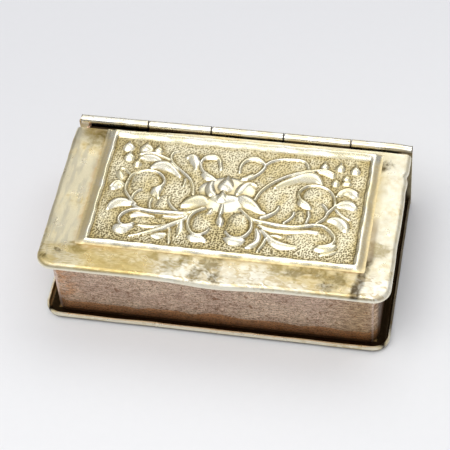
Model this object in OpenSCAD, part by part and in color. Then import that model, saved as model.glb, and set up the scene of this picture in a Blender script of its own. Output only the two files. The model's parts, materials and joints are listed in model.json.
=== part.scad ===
// Pill box in the form of a small closed book. The lid and the base are two lipped
// sheet-metal covers, a copper strip stands back between them where the pages would
// be, and a five-knuckle hinge lies along the top of the spine.
// +X is the width, -Y the front and +Z up. The origin is at the middle of the bottom.

/* [Covers] */
// Width of the lid and of the base, side to side
cover_w = 70; // [60:1:90]
// Depth of the lid, from its front lip to its hinge edge
lid_d = 37.8; // [34:0.2:46]
// Thickness of the sheet that both covers are made of
sheet_t = 0.5; // [0.4:0.05:0.6]
// Height of the lid's turned lip, from its flat outer face
lid_lip_h = 1.3; // [1.2:0.1:1.8]
// Height of the base's turned lip, from its flat outer face
base_lip_h = 1.7; // [1.2:0.1:1.8]
// Outer radius of the turned edge
lip_r = 1.1; // [0.8:0.1:1.2]
// Radius of the covers' front corners, seen from above
corner_r = 3.5; // [2.5:0.5:6]

/* [Wall and spine] */
// Height of the lid's flat face above the table
lid_top = 17.3; // [12:0.1:25]
// How far the wall stands back from the edges of the covers
wall_inset = 2.2; // [2:0.1:4]
// Thickness of the wall strip
wall_t = 0.6; // [0.5:0.1:0.8]
// Outer radius of the wall's two front corners
wall_corner_r = 2.5; // [2:0.5:4]
// Gap between the top of the wall and the closed lid
closing_gap = 0.05; // [0.03:0.01:0.1]
// Thickness of the spine plate
spine_t = 0.6; // [0.5:0.1:0.8]
// Size of the bevel cut off the spine's upper left corner
spine_bevel = 3.6; // [0.5:0.1:4]

/* [Lid fittings] */
// Depth of the rim under the lid that drops inside the wall
flange_h = 2; // [1.5:0.1:3]
// Thickness of that rim
flange_t = 0.5; // [0.4:0.1:0.8]
// Clearance between the rim and the inside of the wall
flange_clearance = 0.25; // [0.2:0.05:0.4]
// Thickness of the two strips that back the hinge
bearer_t = 0.7; // [0.5:0.1:0.8]
// Height of the strip inside the spine
spine_bearer_h = 1.6; // [1:0.1:3]
// Height of the strip under the lid
lid_bearer_h = 0.8; // [0.6:0.1:1]

/* [Hinge] */
// Outer diameter of the hinge tube
tube_d = 1.9; // [1.8:0.05:2]
// Diameter of the hinge pin
pin_d = 0.9; // [0.8:0.05:1]
// Radial clearance between the pin and the tube
pin_clearance = 0.03; // [0.02:0.01:0.08]
// How far the hinge axis lies behind the lid's edge
hinge_setback = 1.45; // [1.1:0.05:1.6]
// Gap between two neighbouring knuckles
knuckle_gap = 0.15; // [0.1:0.05:0.3]
// Lengths that the five knuckles take along the hinge, from the left
knuckle_l = [14.4, 13.3, 15.1, 13.9, 12.5]; // [10:0.1:16]

/* [Plaque] */
// Width of the plaque on the lid
plaque_w = 54.5; // [45:0.5:58]
// Depth of the plaque
plaque_d = 30; // [25:0.5:31]
// Sideways place of the plaque's middle
plaque_x = 0.85; // [-1:0.05:1]
// Distance from the lid's hinge edge to the plaque
plaque_back = 1.5; // [1:0.1:3]
// Thickness of the plaque's ground
plaque_t = 0.35; // [0.3:0.05:0.5]
// Radius of the bead round the plaque
bead_r = 0.45; // [0.35:0.05:0.5]
// Radius of the wire-like scrolls on the plaque
scroll_r = 0.35; // [0.25:0.05:0.4]

/* [Hidden] */
$fn = 48;

tube_r = tube_d / 2;
pin_r = pin_d / 2;
bore_r = pin_r + pin_clearance;
solder_gap = 0.01;                                   // film between a tube and its seat
running_gap = 0.15;                                  // air under a turning knuckle
past = 1;                                            // how far a cutter runs past a face

depth = lid_d + hinge_setback + tube_r;              // whole object, front to back
front_y = -depth / 2;
back_y = depth / 2;
lid_back_y = front_y + lid_d;
axis_y = lid_back_y + hinge_setback;
axis_z = lid_top;
spine_in_y = back_y - spine_t;
lid_under = lid_top - sheet_t;

wall_w = cover_w - 2 * wall_inset;
wall_d = spine_in_y - front_y - wall_inset;
wall_h = lid_under - closing_gap - sheet_t;

notch_z = axis_z - tube_r - running_gap;             // top of the spine under a turning knuckle
seat_z = axis_z - tube_r / 3;                        // top of the spine beside a fixed knuckle
seat_front_y = axis_y - tube_r * 0.63;               // how far the lid's seats reach under the tube
flange_inset = wall_inset + wall_t + flange_clearance;
flange_back_y = lid_back_y - bearer_t;

total_l = knuckle_l[0] + knuckle_l[1] + knuckle_l[2] + knuckle_l[3] + knuckle_l[4];
barrel_x = cover_w / 2 - total_l;                    // left end of the hinge
pin_recess = 0.1;                                    // the pin ends just inside the tube
body_knuckles = [0, 2, 4];
lid_knuckles = [1, 3];

plaque_y = lid_back_y - plaque_back - plaque_d / 2;
stud_r = 0.9;
stud_h = 0.35;
stud_pitch = 2.8;

cover_colour = [0.83, 0.79, 0.66];
plaque_colour = [0.80, 0.72, 0.52];
copper_colour = [0.62, 0.43, 0.34];
hinge_colour = [0.82, 0.78, 0.62];
pin_colour = [0.55, 0.55, 0.55];

function knuckle_x(i) = barrel_x + (i == 0 ? 0 : knuckle_x(i - 1) - barrel_x + knuckle_l[i - 1]);
function gap_before(i) = i == 0 ? 0 : knuckle_gap / 2;
function gap_after(i) = i == 4 ? 0 : knuckle_gap / 2;
function knuckle_start(i) = knuckle_x(i) + gap_before(i);
function knuckle_length(i) = knuckle_l[i] - gap_before(i) - gap_after(i);

// A round bar along the hinge axis
module along_axis(x, length, r) {
    translate([x, axis_y, axis_z]) rotate([0, 90, 0]) cylinder(r = r, h = length);
}

// A flat plate with its front edge at y = 0 and its two front corners rounded
module front_rounded_plate(w, d, r, h) {
    translate([-w / 2, r, 0]) cube([w, d - r, h]);
    translate([r - w / 2, 0, 0]) cube([w - 2 * r, d - r, h]);
    for (side = [-1, 1])
        translate([side * (w / 2 - r), r, 0]) cylinder(r = r, h = h);
}

// Section of a turned edge: the flat face is at y = 0 and the outermost point at x = 0
module turned_edge(lip_h) {
    translate([-lip_r, lip_r]) difference() {
        intersection() {
            circle(r = lip_r);
            translate([0, -lip_r]) square(lip_r);
        }
        circle(r = lip_r - sheet_t);
    }
    translate([-sheet_t, lip_r]) square([sheet_t, lip_h - lip_r]);
}

// A sheet cover lying on its flat face, with the lip turned up at the front and sides
module cover(d, lip_h) {
    front_half = cover_w / 2 - corner_r;
    translate([0, lip_r, 0])
        front_rounded_plate(cover_w - 2 * lip_r, d - lip_r, corner_r - lip_r, sheet_t);
    translate([front_half, 0, 0]) rotate([90, 0, -90]) linear_extrude(2 * front_half) turned_edge(lip_h);
    for (side = [0, 1]) mirror([side, 0, 0]) {
        translate([cover_w / 2, d, 0]) rotate([90, 0, 0]) linear_extrude(d - corner_r) turned_edge(lip_h);
        translate([front_half, corner_r, 0]) rotate([0, 0, -90])
            rotate_extrude(angle = 90) translate([corner_r, 0]) turned_edge(lip_h);
    }
}

// Blocks behind or under some of the knuckles, hollowed to seat the tube
module tube_seats(knuckles, y0, y1, z0, z1) {
    difference() {
        for (i = knuckles)
            translate([knuckle_start(i), y0, z0]) cube([knuckle_length(i), y1 - y0, z1 - z0]);
        along_axis(barrel_x - past, total_l + 2 * past, tube_r + solder_gap);
    }
}

module knuckle(i) {
    color(hinge_colour) difference() {
        along_axis(knuckle_start(i), knuckle_length(i), tube_r);
        along_axis(knuckle_start(i) - past, knuckle_length(i) + 2 * past, bore_r);
    }
}

module base_tray() {
    color(cover_colour) translate([0, front_y, 0]) cover(spine_in_y - front_y, base_lip_h);
}

module wall_band() {
    color(copper_colour) translate([0, front_y + wall_inset, sheet_t]) difference() {
        front_rounded_plate(wall_w, wall_d, wall_corner_r, wall_h);
        translate([0, wall_t, -past])
            front_rounded_plate(wall_w - 2 * wall_t, wall_d + past, wall_corner_r - wall_t, wall_h + 2 * past);
        translate([0, -front_y - wall_inset, -sheet_t])
            along_axis(barrel_x - past, total_l + 2 * past, tube_r + running_gap);
    }
}

module spine_plate() {
    color(cover_colour) difference() {
        union() {
            translate([-cover_w / 2, spine_in_y, 0]) cube([cover_w, spine_t, notch_z]);
            tube_seats(body_knuckles, spine_in_y, back_y, notch_z - spine_t, seat_z);
        }
        translate([-cover_w / 2, spine_in_y - past, seat_z]) rotate([0, 45, 0])
            cube([spine_bevel * sqrt(2), spine_t + 2 * past, spine_bevel * sqrt(2)]);
    }
}

module spine_bearer() {
    inner_w = wall_w - 2 * wall_t;
    color(hinge_colour) {
        translate([-inner_w / 2, spine_in_y - bearer_t, notch_z - spine_bearer_h])
            cube([inner_w, bearer_t, spine_bearer_h]);
        intersection() {
            tube_seats(body_knuckles, spine_in_y - bearer_t, spine_in_y, notch_z - bearer_t, seat_z);
            translate([-inner_w / 2, spine_in_y - bearer_t, 0]) cube([inner_w, bearer_t, lid_top]);
        }
    }
}

module knuckle_1() { knuckle(0); }

module knuckle_3() { knuckle(2); }

module knuckle_5() { knuckle(4); }

module hinge_pin() {
    color(pin_colour) along_axis(barrel_x + pin_recess, total_l - 2 * pin_recess, pin_r);
}

module lid_cover() {
    color(cover_colour) translate([0, front_y, lid_top]) mirror([0, 0, 1]) cover(lid_d, lid_lip_h);
}

module lid_flange() {
    w = cover_w - 2 * flange_inset;
    d = flange_back_y - front_y - flange_inset;
    r = wall_corner_r - wall_t - flange_clearance;
    color(hinge_colour) translate([0, front_y + flange_inset, lid_under - flange_h]) difference() {
        front_rounded_plate(w, d, r, flange_h);
        translate([0, flange_t, -past])
            front_rounded_plate(w - 2 * flange_t, d - 2 * flange_t, r - flange_t, flange_h + 2 * past);
    }
}

module lid_bearer() {
    w = cover_w - 2 * flange_inset;
    color(hinge_colour) {
        translate([-w / 2, flange_back_y, lid_under - lid_bearer_h])
            cube([w, lid_back_y - flange_back_y, lid_bearer_h]);
        tube_seats(lid_knuckles, lid_back_y - bearer_t / 2, seat_front_y,
                   lid_under - lid_bearer_h, lid_under);
    }
}

// A raised scroll: part of a ring, half sunk in the ground
module scroll(x, y, r, from, sweep) {
    translate([x, y, plaque_t]) rotate([0, 0, from])
        rotate_extrude(angle = sweep) translate([r, 0]) circle(r = scroll_r);
}

// Five pointed studs set in a corner of the plaque
module corner_studs() {
    places = [[0, 0], [1, 0], [2, 0], [0, -1], [0.8, -1.2]];
    for (p = places)
        translate([p[0] * stud_pitch, p[1] * stud_pitch, plaque_t])
            cylinder(r1 = stud_r, r2 = stud_r / 3, h = stud_h);
}

module plaque_bead() {
    x = plaque_w / 2 - bead_r;
    y = plaque_d / 2 - bead_r;
    for (side = [-1, 1]) {
        translate([-x, side * y, plaque_t]) rotate([0, 90, 0]) cylinder(r = bead_r, h = 2 * x);
        translate([side * x, y, plaque_t]) rotate([90, 0, 0]) cylinder(r = bead_r, h = 2 * y);
        for (end = [-1, 1]) translate([side * x, end * y, plaque_t]) sphere(r = bead_r);
    }
}

module lid_plaque() {
    petal = 2.2;
    corner_x = plaque_w / 2 - 4;
    corner_y = plaque_d / 2 - 3;
    color(plaque_colour) translate([plaque_x, plaque_y, lid_top]) difference() {
        union() {
            translate([bead_r - plaque_w / 2, bead_r - plaque_d / 2, 0])
                cube([plaque_w - 2 * bead_r, plaque_d - 2 * bead_r, plaque_t]);
            plaque_bead();
            for (side = [0, 1]) mirror([side, 0, 0]) {
                translate([-corner_x, corner_y, 0]) corner_studs();
                scroll(17.3, 0.8, 4, -60, 290);
                scroll(9, 1, 4.6, 20, 130);
                scroll(3.4, -6.8, 2.9, -10, 230);
                scroll(4, 9, 1.9, -30, 230);
            }
            for (a = [18:72:306]) rotate([0, 0, a])
                translate([petal, 0, plaque_t]) cylinder(r1 = stud_r, r2 = stud_r / 3, h = stud_h);
        }
        translate([-plaque_w, -plaque_d, -past - bead_r]) cube([2 * plaque_w, 2 * plaque_d, past + bead_r]);
    }
}

module knuckle_2() { knuckle(1); }

module knuckle_4() { knuckle(3); }

base_tray();
wall_band();
spine_plate();
spine_bearer();
knuckle_1();
knuckle_3();
knuckle_5();
hinge_pin();
lid_cover();
lid_flange();
lid_bearer();
lid_plaque();
knuckle_2();
knuckle_4();
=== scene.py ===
"""The looks of a small sheet-metal pill box made like a closed book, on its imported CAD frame.

Lengths are in millimetres in the CAD model's own frame and turned to metres when a mesh is made.
+X is to the right along the hinge, -Y is the front and +Z is up.
"""

import json
import math

import bmesh
import bpy
import numpy as np
from mathutils import Matrix, Vector, noise


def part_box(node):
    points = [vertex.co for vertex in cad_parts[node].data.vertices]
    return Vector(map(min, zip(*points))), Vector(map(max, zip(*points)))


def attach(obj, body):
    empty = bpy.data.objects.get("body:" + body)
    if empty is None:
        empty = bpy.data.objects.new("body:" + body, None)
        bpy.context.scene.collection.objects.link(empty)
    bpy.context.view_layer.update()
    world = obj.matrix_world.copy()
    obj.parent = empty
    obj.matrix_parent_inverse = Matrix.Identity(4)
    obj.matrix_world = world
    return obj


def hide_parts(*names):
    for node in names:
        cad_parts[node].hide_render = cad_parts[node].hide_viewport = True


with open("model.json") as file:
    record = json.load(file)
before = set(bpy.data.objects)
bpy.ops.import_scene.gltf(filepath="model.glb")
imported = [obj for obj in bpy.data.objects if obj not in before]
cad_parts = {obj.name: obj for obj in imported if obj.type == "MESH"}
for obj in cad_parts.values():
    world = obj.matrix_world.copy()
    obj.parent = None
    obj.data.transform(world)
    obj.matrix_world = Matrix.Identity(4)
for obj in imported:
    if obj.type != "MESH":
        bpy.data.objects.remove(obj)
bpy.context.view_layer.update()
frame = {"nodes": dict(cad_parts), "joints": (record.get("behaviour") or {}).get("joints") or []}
MM = 0.001


# ---------------- the frame's sizes

def box_mm(node):
    """A CAD node's lowest and highest corners at rest, in millimetres."""
    low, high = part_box(node)
    return np.array(low) / MM, np.array(high) / MM


LID_LOW, LID_HIGH = box_mm("lid_cover")
BASE_LOW, BASE_HIGH = box_mm("base_tray")
WALL_LOW, WALL_HIGH = box_mm("wall_band")
PLAQUE_LOW, PLAQUE_HIGH = box_mm("lid_plaque")
LID_TOP = LID_HIGH[2]
PLAQUE_X, PLAQUE_Y = (PLAQUE_LOW[:2] + PLAQUE_HIGH[:2]) / 2
AXIS_Y, AXIS_Z = np.array(frame["joints"][0]["pos_m"][1:]) / MM

SHEET_T = 0.5        # thickness of the cover sheets
TURN_R = 1.1         # outer radius of their turned edges
CORNER_R = 3.5       # radius of their front corners, seen from above
WALL_T = 0.6         # thickness of the copper strip
WALL_CORNER_R = 2.5  # outer radius of its front corners


# ---------------- mesh helpers

def smoothstep(low, high, value):
    t = np.clip((value - low) / (high - low), 0.0, 1.0)
    return t * t * (3 - 2 * t)


def bell(value, middle, width):
    return np.exp(-(((value - middle) / width) ** 2))


def wander(points, scale, seed):
    """Smooth noise between about -1 and 1 at each point, one feature per `scale` millimetres."""
    return np.array([noise.noise(Vector(p) / scale + Vector((seed, 0, 0))) for p in points])


def place(name, data):
    thing = bpy.data.objects.new(name, data)
    bpy.context.scene.collection.objects.link(thing)
    return thing


def make_object(name, points, faces, smooth_angle=35):
    mesh = bpy.data.meshes.new(name)
    mesh.from_pydata((np.asarray(points) * MM).tolist(), [], faces)
    fixed = bmesh.new()
    fixed.from_mesh(mesh)
    bmesh.ops.recalc_face_normals(fixed, faces=fixed.faces)
    fixed.to_mesh(mesh)
    fixed.free()
    mesh.shade_smooth()
    mesh.set_sharp_from_angle(angle=math.radians(smooth_angle))
    return place(name, mesh)


def add_layer(thing, name, values):
    """Stores one number per point, for the materials to read."""
    layer = thing.data.attributes.new(name, "FLOAT", "POINT")
    layer.data.foreach_set("value", values.reshape(-1).astype(np.float32))


def grid_faces(rows, columns):
    return [
        [j * columns + i, j * columns + i + 1, (j + 1) * columns + i + 1, (j + 1) * columns + i]
        for j in range(rows - 1)
        for i in range(columns - 1)
    ]


def thick_sheet(faces, outer, inner):
    """Closes two copies of an open sheet, `outer` and `inner`, into one solid."""
    count = len(outer)
    uses = {}
    for face in faces:
        for a, b in zip(face, face[1:] + face[:1]):
            uses.setdefault(frozenset((a, b)), []).append((a, b))
    rim = [pairs[0] for pairs in uses.values() if len(pairs) == 1]
    closed = [list(face) for face in faces]
    closed += [[count + i for i in reversed(face)] for face in faces]
    closed += [[b, a, count + a, count + b] for a, b in rim]
    return np.vstack([outer, inner]), closed


def outline_stations(half_w, front, back, reach, pitch):
    """Stations along the front and the two sides of a sheet, from the back left round to the back right.

    Each is a point of the inner rectangle, `reach` inside the outline, and the direction out from there."""
    half = half_w - reach
    ys = np.linspace(back, front + reach, max(2, round((back - front - reach) / pitch)) + 1)
    xs = np.linspace(-half, half, max(2, round(2 * half / pitch)) + 1)
    corner = np.linspace(0, math.pi / 2, 11)[1:-1]
    stations = [((xs[0], y), (-1.0, 0.0)) for y in ys]
    stations += [((xs[0], ys[-1]), (-math.cos(a), -math.sin(a))) for a in corner]
    stations += [((x, ys[-1]), (0.0, -1.0)) for x in xs]
    stations += [((xs[-1], ys[-1]), (math.sin(a), -math.cos(a))) for a in corner]
    stations += [((xs[-1], y), (1.0, 0.0)) for y in ys[::-1]]
    return stations, xs, ys


FIRST_STEP = 1.2     # from the inner rectangle out to the first point of the turned profile
EDGE_H = 0.12        # height and width of the softened edge of a lip
EDGE_W = 0.1
EDGE_GAP = 0.01      # how far the edge stays inside the CAD lip


def turned_profile(lip_h):
    """The outer and the inner face of a turned edge, as (distance inside the outline, depth)."""
    turns = np.linspace(0, math.pi / 2, 8)
    inner_r = TURN_R - SHEET_T
    first = CORNER_R - FIRST_STEP
    outer = [(first, 0.0)]
    outer += [(TURN_R - TURN_R * math.sin(a), TURN_R - TURN_R * math.cos(a)) for a in turns]
    outer += [(0.0, lip_h - EDGE_H), (EDGE_W, lip_h - EDGE_GAP)]
    inner = [(first, SHEET_T)]
    inner += [(TURN_R - inner_r * math.sin(a), TURN_R - inner_r * math.cos(a)) for a in turns]
    inner += [(SHEET_T, lip_h - EDGE_H), (SHEET_T - EDGE_W, lip_h - EDGE_GAP)]
    return outer, inner


def lipped_sheet(name, low, high, flat_z, lip_way, bend, pitch=0.5):
    """A cover sheet with its turned lip. `lip_way` is the z direction in which the lip goes, and `bend` moves
    the points (an array) where the real sheet is dented or wavy."""
    stations, xs, ys = outline_stations((high[0] - low[0]) / 2, low[1], high[1], CORNER_R, pitch)
    outer_side, inner_side = turned_profile(high[2] - low[2])
    nx = len(xs)
    grid_at = {(round(x, 6), round(y, 6)): j * nx + i for j, y in enumerate(ys) for i, x in enumerate(xs)}
    outer = [(x, y, flat_z) for y in ys for x in xs]
    inner = [(x, y, flat_z + lip_way * SHEET_T) for y in ys for x in xs]
    faces = grid_faces(len(ys), nx)
    columns = []
    for (gx, gy), (ox, oy) in stations:
        column = [grid_at[(round(gx, 6), round(gy, 6))]]
        for (inset, depth), (inset_in, depth_in) in zip(outer_side, inner_side):
            out, out_in = CORNER_R - inset, CORNER_R - inset_in
            column.append(len(outer))
            outer.append((gx + ox * out, gy + oy * out, flat_z + lip_way * depth))
            inner.append((gx + ox * out_in, gy + oy * out_in, flat_z + lip_way * depth_in))
        columns.append(column)
    for a, b in zip(columns, columns[1:]):
        for k in range(len(a) - 1):
            face = [a[k], a[k + 1], b[k + 1], b[k]]
            faces.append(face if a[k] != b[k] else face[:3])
    points, closed = thick_sheet(faces, np.array(outer), np.array(inner))
    return make_object(name, points + bend(points), closed)


# ---------------- shader helpers

class Value:
    """A number that a material's nodes work out at each point of the surface."""

    def __init__(self, look, socket):
        self.look = look
        self.socket = socket

    def __add__(self, other):
        return self.look.math("ADD", self, other)

    def __sub__(self, other):
        return self.look.math("SUBTRACT", self, other)

    def __mul__(self, other):
        return self.look.math("MULTIPLY", self, other)

    __rmul__ = __mul__


class Shader:
    """One Principled material, whose textures are laid out in millimetres of the model's own space.

    A mask is a Value or a number from 0 to 1, and `tone` is the colour mixed so far."""

    def __init__(self, name, metallic):
        self.material = bpy.data.materials.new(name)
        self.material.use_nodes = True
        self.tree = self.material.node_tree
        self.surface = self.tree.nodes["Principled BSDF"]
        self.surface.inputs["Metallic"].default_value = metallic
        scaled = self.node("ShaderNodeVectorMath", operation="SCALE")
        self.feed(scaled.inputs[0], self.node("ShaderNodeTexCoord").outputs["Object"])
        scaled.inputs["Scale"].default_value = 1 / MM
        self.place = scaled.outputs[0]
        split = self.node("ShaderNodeSeparateXYZ")
        self.feed(split.inputs[0], self.place)
        self.x, self.y, self.z = (Value(self, output) for output in split.outputs)
        self.tone = None

    def node(self, kind, **settings):
        made = self.tree.nodes.new(kind)
        for key, value in settings.items():
            setattr(made, key, value)
        return made

    def feed(self, socket, value):
        if isinstance(value, Value):
            value = value.socket
        if isinstance(value, bpy.types.NodeSocket):
            self.tree.links.new(value, socket)
        elif hasattr(socket.default_value, "__len__") and len(value) == 3 and len(socket.default_value) == 4:
            socket.default_value = (*value, 1.0)
        else:
            socket.default_value = value

    def math(self, operation, a, b=0.0):
        made = self.node("ShaderNodeMath", operation=operation)
        self.feed(made.inputs[0], a)
        self.feed(made.inputs[1], b)
        return Value(self, made.outputs[0])

    def most(self, first, *others):
        for other in others:
            first = self.math("MAXIMUM", first, other)
        return first

    def away(self, value, middle):
        """How far a value is from a number, either way."""
        return self.math("ABSOLUTE", value - middle)

    def noise(self, scale, stretch=(1, 1, 1), turn=(0, 0, 0), shift=(0, 0, 0), detail=4, distortion=0.0):
        """Noise with `scale` features per millimetre, each `stretch` times as long along the turned axes."""
        mapping = self.node("ShaderNodeMapping", vector_type="TEXTURE")
        self.feed(mapping.inputs["Vector"], self.place)
        mapping.inputs["Location"].default_value = shift
        mapping.inputs["Rotation"].default_value = [math.radians(a) for a in turn]
        mapping.inputs["Scale"].default_value = stretch
        made = self.node("ShaderNodeTexNoise")
        self.feed(made.inputs["Vector"], mapping.outputs[0])
        for key, number in zip(("Scale", "Detail", "Distortion"), (scale, detail, distortion)):
            made.inputs[key].default_value = number
        return Value(self, made.outputs["Fac"])

    def band(self, value, low, high, start=0.0, end=1.0):
        """Goes smoothly from `start` where value is `low` to `end` where it is `high`."""
        made = self.node("ShaderNodeMapRange", interpolation_type="SMOOTHSTEP")
        keys = ("Value", "From Min", "From Max", "To Min", "To Max")
        for key, number in zip(keys, (value, low, high, start, end)):
            self.feed(made.inputs[key], number)
        return Value(self, made.outputs[0])

    def attribute(self, name):
        return Value(self, self.node("ShaderNodeAttribute", attribute_name=name).outputs["Fac"])

    def spot(self, x, y, reach, ragged):
        """1 at a place on the lid, falling to 0 at about `reach` from it, with `ragged` noise on its edge."""
        dx, dy = self.x - x, self.y - y
        distance = self.math("SQRT", dx * dx + dy * dy)
        return self.band(distance + ragged, reach, reach * 0.35)

    def outside_box(self, middle, half):
        """How far a point is outside an upright rectangle, in millimetres; negative inside."""
        return self.most(self.away(self.x, middle[0]) - half[0], self.away(self.y, middle[1]) - half[1])

    def scratches(self, turns, fineness=5.0):
        """Thin straight marks in several directions, about 1 on a mark and 0 off it."""
        marks = [self.noise(fineness, (0.045, 1, 1), (0, 0, turn), (3.1 * k, 1.7 * k, 0), detail=1)
                 for k, turn in enumerate(turns)]
        return self.most(*(self.band(mark, 0.66, 0.74) for mark in marks))

    def mix(self, factor, a, b):
        made = self.node("ShaderNodeMix", data_type="RGBA")
        self.feed(made.inputs["Factor"], factor)
        self.feed(made.inputs[6], a)
        self.feed(made.inputs[7], b)
        return made.outputs[2]

    def paint(self, tint, *masks):
        """Lays `tint` over the colour so far, as strongly as the product of the masks."""
        self.tone = self.mix(math.prod(masks[1:], start=masks[0]), self.tone, tint)

    def bump(self, height, distance, strength=1.0):
        """Adds relief `distance` millimetres deep on top of the relief added so far."""
        made = self.node("ShaderNodeBump")
        self.feed(made.inputs["Height"], height)
        made.inputs["Distance"].default_value = distance * MM
        made.inputs["Strength"].default_value = strength
        normal = self.surface.inputs["Normal"]
        if normal.is_linked:
            self.feed(made.inputs["Normal"], normal.links[0].from_socket)
        self.feed(normal, made.outputs[0])

    def dent(self, mask, distance, strength=1.0):
        """Sinks the masked marks into the surface."""
        self.bump(-1 * mask, distance, strength)

    def finish(self, rough):
        """Gives the surface its colour and its roughness, and hands over the material."""
        self.feed(self.surface.inputs["Base Color"], self.tone)
        self.feed(self.surface.inputs["Roughness"], rough)
        return self.material


CREAM = (0.83, 0.73, 0.47)
SILVER = (0.76, 0.69, 0.49)
STRAW = (0.62, 0.48, 0.21)
OLIVE = (0.38, 0.28, 0.07)
BROWN = (0.3, 0.15, 0.035)
UMBER = (0.05, 0.03, 0.012)
COPPER = (0.72, 0.53, 0.41)
RUST = (0.27, 0.115, 0.045)


def worn_plate(name, stains):
    """The pale plated sheet of both covers and the spine. `stains` adds the stains and the painted light that
    are special to one piece, and returns the roughness."""
    look = Shader(name, 1)
    cloud = look.noise(0.09, distortion=0.6)
    grain = look.noise(0.8, detail=5)
    look.tone = look.mix(look.band(cloud, 0.4, 0.62), SILVER, CREAM)
    look.paint(STRAW, look.band(cloud + 0.5 * grain, 0.72, 0.98))
    marks = look.most(look.scratches((8, -17, 31, 74, -63, 97)), look.scratches((3, -38, 55), 2.2))
    look.paint(OLIVE, marks, 0.35)
    rough = stains(look, look.band(look.noise(0.35), 0.3, 0.7, 0.26, 0.44), grain)
    look.bump(look.noise(0.22, detail=2), 0.1, 0.5)
    look.bump(look.noise(1.3), 0.02, 0.6)
    look.dent(marks, 0.012, 0.7)
    look.dent(look.band(look.noise(3.2, detail=2), 0.7, 0.8), 0.02, 0.8)
    return look.finish(rough)


# (x, y, reach) of the stained places on the lid, and how brown each is from 0 (olive) to 1 (dark)
LID_STAINS = [
    (-8.1, -16.9, 2.2, 0.2), (-5.6, -14.7, 1.8, 0.3), (-0.5, -15.2, 2.4, 0.5), (-2.8, -18.5, 1.8, 0.6),
    (0.8, -18.7, 1.4, 0.7), (12.9, -14.2, 2.6, 0.2), (16.5, -15.2, 2.4, 0.5), (21, -14.6, 2.6, 0.4),
    (24.2, -16.2, 2.4, 0.5), (22.5, -18.4, 1.6, 0.7), (29.2, 14, 2.1, 0.9), (-29.4, 13.6, 2.6, 0.25),
    (-25.6, 16.9, 2.4, 0.7), (-28.2, 16.6, 2.6, 0.55), (-31.6, 15.8, 2, 0.15), (-27.6, -14.6, 2, 0.3),
    (-31, -16, 0.7, 0.7), (-33.4, -18, 0.8, 0.7), (31.5, -8, 2.2, 0.1), (-12, -15, 1.4, 0.1),
]


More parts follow.
